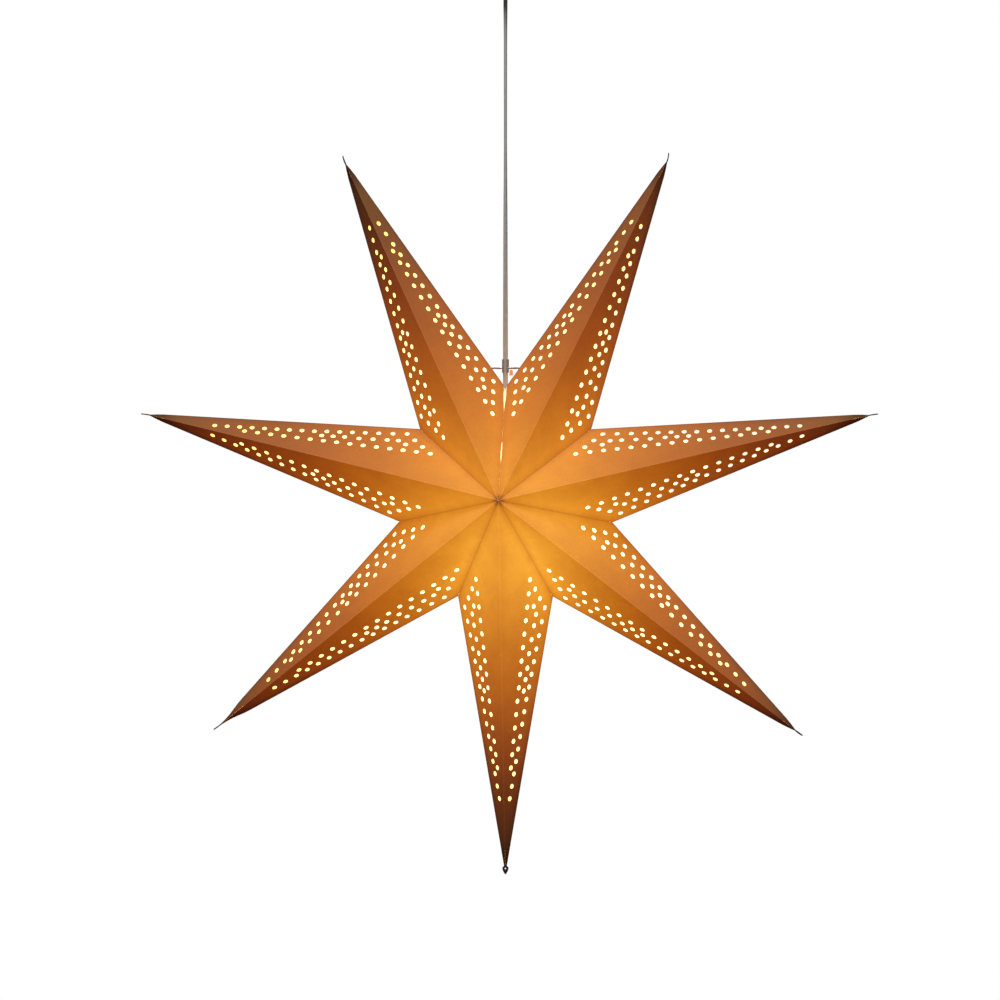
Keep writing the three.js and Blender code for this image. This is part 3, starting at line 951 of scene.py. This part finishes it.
# Finishes of the hard pieces, by the slot they fill: name, two colours, roughness, and the rest
hardFinishes = {
    "white_plastic": (
        "mouldedWhite", (0.90, 0.89, 0.86), (0.85, 0.84, 0.80), (0.34, 0.46),
        {"scale": 240, "bump": 0.08}),
    "clear_plastic": (
        "milkyPlastic", (0.80, 0.80, 0.77), (0.70, 0.70, 0.67), (0.16, 0.28),
        {"scale": 320, "bump": 0.05, "coat": 0.5}),
    "grey_plastic": (
        "smokyPlastic", (0.42, 0.37, 0.36), (0.34, 0.30, 0.29), (0.3, 0.42),
        {"scale": 320, "bump": 0.06}),
    "ceramic": (
        "holderCore", (0.66, 0.62, 0.54), (0.58, 0.54, 0.46), (0.5, 0.65),
        {"scale": 400, "bump": 0.2}),
    "steel": (
        "drawnSteel", (0.56, 0.56, 0.57), (0.50, 0.50, 0.51), (0.34, 0.46),
        {"metal": 1.0, "scale": 300, "bump": 0.02}),
    "brass": (
        "pressedBrass", (0.72, 0.53, 0.25), (0.58, 0.40, 0.17), (0.25, 0.42),
        {"metal": 1.0, "scale": 420, "bump": 0.12}),
    "nickel": (
        "nickelPlate", (0.66, 0.65, 0.61), (0.52, 0.51, 0.48), (0.2, 0.36),
        {"metal": 1.0, "scale": 420, "bump": 0.1}),
    "black_glass": (
        "blackGlass", (0.014, 0.012, 0.016), (0.03, 0.025, 0.032), (0.08, 0.18),
        {"scale": 300, "bump": 0.04}),
    "board": (
        "boardLacquer", (0.82, 0.82, 0.78), (0.72, 0.72, 0.66), (0.3, 0.4),
        {"scale": 500, "bump": 0.1}),
    "opal": (
        "opalGlobe", (0.86, 0.82, 0.72), (0.84, 0.78, 0.66), (0.22, 0.34),
        {"scale": 200, "bump": 0.05, "glow": ((1.0, 0.78, 0.45), 3.5)}),
}
finishes = {slot: plainFinish(*look, **rest) for slot, (*look, rest) in hardFinishes.items()}


# Round pieces: corners are (radius, height) in order round the section, each rounded off
def roundedSection(corners, fillet):
    section = []
    count = len(corners)
    for k in range(count):
        before, here, after = corners[k - 1], corners[k], corners[(k + 1) % count]
        back, ahead = before - here, after - here
        size = min(fillet, back.length * 0.42, ahead.length * 0.42)
        if here.x <= 0 or size <= 0:
            section.append(here)
            continue
        first, last = here + back.normalized() * size, here + ahead.normalized() * size
        for t in (0, 1 / 3, 2 / 3, 1):
            section.append(first * (1 - t) ** 2 + here * 2 * t * (1 - t) + last * t * t)
    return section


def turnedMesh(name, corners, fillet, steps=64, softAngle=40):
    section = roundedSection([Vector(c) for c in corners], fillet)
    points = []
    for turn in turnsOf(steps):
        points += [(q.x * math.cos(turn), q.x * math.sin(turn), q.y) for q in section]
    mesh = newMesh(name, points, ringFaces(steps, len(section)), softAngle)
    return outwards(mesh, softAngle)


def finishPiece(mesh, node, body, slotName):
    fitPiece(mesh, node, body, slotName, finishes[slotName])


# Bottom, top and radius of a round node
def span(node):
    low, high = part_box(node)
    return low.z, high.z, high.x


# Ceiling cup, gland and the ring under it
ceilingLook = {
    "cupWall": 1.4 * mm,
    "cupTaper": 3 * mm,
    "cupShoulder": 5 * mm,
    "cupCorner": 2 * mm,  # inside, between wall and floor
    "cupFoot": 3.5 * mm,
    "cupBelly": (0.4 * mm, 3 * mm),
    "cupFillet": 1.6 * mm,
    "glandRadius": 6.5 * mm,
    "glandChamfer": (1.2 * mm, 1.4 * mm),
    "glandFillet": 0.4 * mm,
    "flangeHeight": 1.8 * mm,
    "flangeChamfer": 0.6,  # in mm, and the share of its height where it ends
    "bore": 2.9 * mm,
    "play": 0.3 * mm,
    "ringBore": 3.8 * mm,
    "ringFillet": 0.5 * mm,
}


def makeCeilingPieces():
    look = ceilingLook
    low, high, rim = span("canopy_cup")
    floorRadius, wall = rim - look["cupTaper"], look["cupWall"]
    hole = look["glandRadius"] + look["play"]
    bellyIn, bellyUp = look["cupBelly"]
    cup = [
        (rim, high), (rim - wall, high), (floorRadius - wall, low + look["cupShoulder"]),
        (floorRadius - wall - look["cupCorner"], low + wall), (hole, low + wall), (hole, low),
        (floorRadius - look["cupFoot"], low), (floorRadius - bellyIn, low + bellyUp),
    ]
    mesh = turnedMesh("canopy_cup_moulded", cup, look["cupFillet"], steps=96, softAngle=30)
    finishPiece(mesh, "canopy_cup", "ceiling_fitting", "white_plastic")

    glandLow, glandHigh, flange = span("cord_gland")
    radius, bore = look["glandRadius"], look["bore"]
    chamferIn, chamferUp = look["glandChamfer"]
    chamfer = look["flangeChamfer"]
    flangeTop = low - look["play"]
    gland = [
        (bore, glandLow), (radius - chamferIn, glandLow), (radius, glandLow + chamferUp),
        (flange - chamfer * mm, flangeTop - look["flangeHeight"]),
        (flange, flangeTop - look["flangeHeight"] * chamfer), (flange, flangeTop),
        (radius, flangeTop), (radius, glandHigh), (bore, glandHigh),
    ]
    mesh = turnedMesh("cord_gland_moulded", gland, look["glandFillet"], steps=48)
    finishPiece(mesh, "cord_gland", "ceiling_fitting", "white_plastic")

    low, high, radius = span("guide_ring")
    bore = look["ringBore"]
    ring = [(bore, low), (radius, low), (radius, high), (bore, high)]
    mesh = turnedMesh("guide_ring_soft", ring, look["ringFillet"], steps=40)
    finishPiece(mesh, "guide_ring", "guide_ring", "clear_plastic")


makeCeilingPieces()
print("ceiling fitting made")


# Lamp holder and lamp, with E14 threads that run together
lampLook = {
    "pitch": 2.82 * mm,
    "depth": 0.24 * mm,
    "threadEnd": 1.5 * mm,  # the thread fades out over this height
    "threadStep": 0.35 * mm,
    "threadSides": 60,
    "screwWall": 0.3 * mm,
    "holderWall": 1.3 * mm,
    "shellLip": 9.25 * mm,
    "shellChamfer": (0.8 * mm, 1.6 * mm),
    "domeShoulder": 0.35,
    "domeSteps": 8,
    "domeHeight": 0.985,
    "domeBore": 2.9 * mm,
    "domeLip": 0.4 * mm,
    "domeTop": 7.2 * mm,
    "domeUnder": 0.1 * mm,
    "collarBore": 4.5 * mm,
    "collarTop": 8.5 * mm,
    "collarEdge": 1.6 * mm,
    "collarStep": (1.1 * mm, 2.6 * mm),
    "collarNeck": (0.8 * mm, 1 * mm),
    "globeWall": 1.0 * mm,
    "globeSteps": 28,
    "neck": 13.5 * mm,
    "capWall": 0.5 * mm,
    "capShoulder": 1.5 * mm,
    "capClear": 0.4 * mm,
    # Crown of the cap: radius, height above the shoulder, in mm
    "crown": [(6.4, 0.4), (5.6, 1.5), (4.6, 1.5), (4.6, 1.0), (5.6, -0.1)],
}


# A thin tube with a rolled thread between two heights
def threadedMesh(name, rows):
    pitch, depth, steps = lampLook["pitch"], lampLook["depth"], lampLook["threadSides"]
    points = []
    for radius, z, share in rows:
        for turn in turnsOf(steps):
            r = radius + depth * share * math.cos(2 * math.pi * z / pitch - turn)
            points.append((r * math.cos(turn), r * math.sin(turn), z))
    return outwards(newMesh(name, points, ringFaces(len(rows), steps), 50), 50)


def threadRows(outer, wall, bottom, top):
    count = round((top - bottom) / lampLook["threadStep"])
    rows = []
    for radius, order in ((outer, range(count + 1)), (outer - wall, range(count, -1, -1))):
        for k in order:
            z = bottom + (top - bottom) * k / count
            share = smoothStep(0, lampLook["threadEnd"], min(z - bottom, top - z))
            rows.append((radius, z, share))
    return rows


def makeHolder():
    look = lampLook
    wall, lip = look["holderWall"], look["shellLip"]
    low, high, radius = span("holder_shell")
    inner = radius - wall
    chamferIn, chamferUp = look["shellChamfer"]
    shell = [
        (lip, low), (radius - chamferIn, low), (radius, low + chamferUp), (radius, high),
        (inner, high), (inner, low + wall), (lip, low + wall),
    ]
    mesh = turnedMesh("holder_shell_moulded", shell, 0.7 * mm, steps=72)
    finishPiece(mesh, "holder_shell", "lamp_holder", "white_plastic")

    low, high, radius = span("holder_dome")
    top, bore = look["domeTop"], look["domeBore"]
    shoulder = low + (high - low) * look["domeShoulder"]
    curve = []
    for k in range(look["domeSteps"] + 1):
        turn = math.pi / 2 * k / look["domeSteps"]
        z = shoulder + (high - shoulder) * math.sin(turn) * look["domeHeight"]
        curve.append((top + (radius - top) * math.cos(turn), z))
    innerCurve = []
    for r, z in reversed(curve):
        share = (z - shoulder) / (high - shoulder)
        innerZ = z - wall * share - look["domeUnder"]
        innerCurve.append((max(bore + look["domeLip"], r - wall), innerZ))
    dome = [(inner, low), (radius, low)] + curve + [(bore, high), (bore, high - wall)] + innerCurve
    mesh = turnedMesh("holder_dome_moulded", dome, 0.25 * mm, steps=72)
    finishPiece(mesh, "holder_dome", "lamp_holder", "white_plastic")

    low, high, radius = span("screw_shell")
    rows = threadRows(radius - look["depth"], look["screwWall"], low, high)
    finishPiece(threadedMesh("screw_shell_thread", rows), "screw_shell", "lamp_holder", "brass")


def makeLamp():
    look = lampLook
    low, high, radius = span("lamp_cap")
    shoulder = high - look["capShoulder"]
    rows = threadRows(radius - look["depth"], look["capWall"], low, shoulder - look["capClear"])
    half = len(rows) // 2
    crown = [(r * mm, shoulder + rise * mm, 0) for r, rise in look["crown"]]
    mesh = threadedMesh("lamp_cap_thread", rows[:half] + crown + rows[half:])
    finishPiece(mesh, "lamp_cap", "lamp", "nickel")

    low, high, radius = span("lamp_collar")
    bore, top = look["collarBore"], look["collarTop"]
    stepIn, stepUp = look["collarStep"]
    neckOut, neckDown = look["collarNeck"]
    collar = [
        (bore, low), (radius, low), (radius, low + look["collarEdge"]),
        (radius - stepIn, low + stepUp), (top + neckOut, high - neckDown),
        (top, high), (bore, high),
    ]
    mesh = turnedMesh("lamp_collar_moulded", collar, 0.5 * mm)
    finishPiece(mesh, "lamp_collar", "lamp", "white_plastic")

    low, high, radius = span("lamp_globe")
    centre = low + radius
    neck, wall, steps = look["neck"], look["globeWall"], look["globeSteps"]
    section = []
    for r, opening, order in ((radius, neck, 1), (radius - wall, neck - wall, -1)):
        start = math.asin(opening / r)
        arc = []
        for k in range(steps + 1):
            angle = start + (math.pi - start) * k / steps
            arc.append((0 if k == steps else r * math.sin(angle), centre + r * math.cos(angle)))
        section += arc[::order]
    finishPiece(turnedMesh("lamp_globe_opal", section, 0), "lamp_globe", "lamp", "opal")


makeHolder()
makeLamp()
print("holder and lamp made")


# Hanger: steel wire from one upper point to the other, through the clamp on the cord
hangerLook = {
    "wire": 0.9 * mm,  # radius
    "sides": 16,
    "bendFrom": 7 * mm,  # from each end
    "clamp": 6 * mm,  # half of the straight part in the clamp
    "droop": -0.9 * mm,  # of the ends
}


def makeHanger():
    look = hangerLook
    radius = look["wire"]
    low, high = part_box("hanger_wire")
    wireZ, behind = high.z - radius, high.y - radius
    knots = [
        Vector((-high.x, 0, wireZ + look["droop"])),
        Vector((-high.x + look["bendFrom"], 0, wireZ)),
        Vector((-look["clamp"], behind, wireZ)),
        Vector((0, behind, wireZ)),
    ]
    knots += [Vector((-q.x, q.y, q.z)) for q in reversed(knots[:-1])]
    line = smoothLine(knots, parts=10)
    circle = [(radius * math.cos(t), radius * math.sin(t)) for t in turnsOf(look["sides"])]
    stations = []
    for k, q in enumerate(line):
        way = (line[min(k + 1, len(line) - 1)] - line[max(k - 1, 0)]).normalized()
        side = way.cross(Vector((0, 0, 1))).normalized()
        stations.append((q, side, side.cross(way)))
    mesh = swept("hanger_wire_drawn", stations, circle)
    finishPiece(mesh, "hanger_wire", "lamp_holder", "steel")


makeHanger()

# Pieces that keep their CAD shape, with softened edges
plainLook = {
    "edge": 0.25 * mm,
    "edgeAngle": 40,
    "weld": 0.01 * mm,
    "finishes": {
        "cord_clamp": "grey_plastic",
        "ceiling_plate": "steel",
        "gland_nut": "white_plastic",
        "terminal_block": "clear_plastic",
        "cord_grip": "ceramic",
        "holder_core": "ceramic",
        "centre_contact": "brass",
        "lamp_contact": "nickel",
        "lamp_insulator": "black_glass",
        "led_board": "board",
    },
}
for name, finish in plainLook["finishes"].items():
    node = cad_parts[name]
    node.data.materials.clear()
    node.data.materials.append(finishes[finish])
    weld = node.modifiers.new("weld", "WELD")
    weld.merge_threshold = plainLook["weld"]
    softenEdges(node, plainLook["edge"], plainLook["edgeAngle"])
print("hanger and hard pieces finished")


# Stage: a pale floor well below the star, white all round, soft light from above. In metres
stageLook = {
    "floor": -1.5,
    "floorRadius": 1.15,
    "floorEdge": 0.01,
    "floorSides": 96,
    "floorFinish": {
        "name": "paleFloor", "colour": (0.86, 0.86, 0.85), "second": (0.83, 0.83, 0.82),
        "rough": (0.6, 0.75), "scale": 6, "bump": 0.02, "glow": ((1, 1, 1), 0.52),
    },
    "ambient": (-0.5, 0.9, 0.015, 0.11),  # from low and high directions, and the strength of each
    "lights": [  # name, place, size, watts
        ("topLight", (0.0, -2.5, 3.75), 1.6, 133),
        ("backLight", (0.3, 4.2, 1.8), 1.8, 110),
    ],
}


def makeStage():
    look = stageLook
    sides, edge = look["floorSides"], look["floorEdge"]
    turns = turnsOf(sides)
    corners = []
    for more in (0, edge):
        radius, z = look["floorRadius"] + more, look["floor"] - more
        corners += [(radius * math.cos(turn), radius * math.sin(turn), z) for turn in turns]
    faces = [tuple(range(sides))] + ringFaces(2, sides, closed=False)
    mesh = outwards(newMesh("floor", corners, faces), softAngle=30)
    floor = newObject("floor", mesh, plainFinish(**look["floorFinish"]))
    floor.visible_diffuse = False
    floor.visible_glossy = False

    world = bpy.data.worlds.new("studio")
    scene.world = world
    world.use_nodes = True
    tree = world.node_tree
    tree.nodes.clear()
    place = addNode(tree, "ShaderNodeTexCoord").outputs["Generated"]
    strength = between(tree, parted(tree, place)["Z"], *look["ambient"])
    ambient = addNode(tree, "ShaderNodeBackground")
    feed(tree, ambient.inputs["Strength"], strength)
    white = addNode(tree, "ShaderNodeBackground")
    white.inputs["Strength"].default_value = 1.0
    for shader in (ambient, white):
        shader.inputs["Color"].default_value = (1, 1, 1, 1)
    chooser = addNode(tree, "ShaderNodeMixShader")
    feed(tree, chooser.inputs[0], addNode(tree, "ShaderNodeLightPath").outputs["Is Camera Ray"])
    tree.links.new(ambient.outputs[0], chooser.inputs[1])
    tree.links.new(white.outputs[0], chooser.inputs[2])
    output = addNode(tree, "ShaderNodeOutputWorld")
    tree.links.new(chooser.outputs[0], output.inputs["Surface"])

    for name, spot, size, watts in look["lights"]:
        data = bpy.data.lights.new(name, "AREA")
        data.shape = "DISK"
        data.size = size
        data.energy = watts
        light = bpy.data.objects.new(name, data)
        scene.collection.objects.link(light)
        light.location = spot
        aim = star["middle"] - Vector(spot)
        light.rotation_euler = aim.to_track_quat("-Z", "Y").to_euler()


makeStage()
print("stage made")
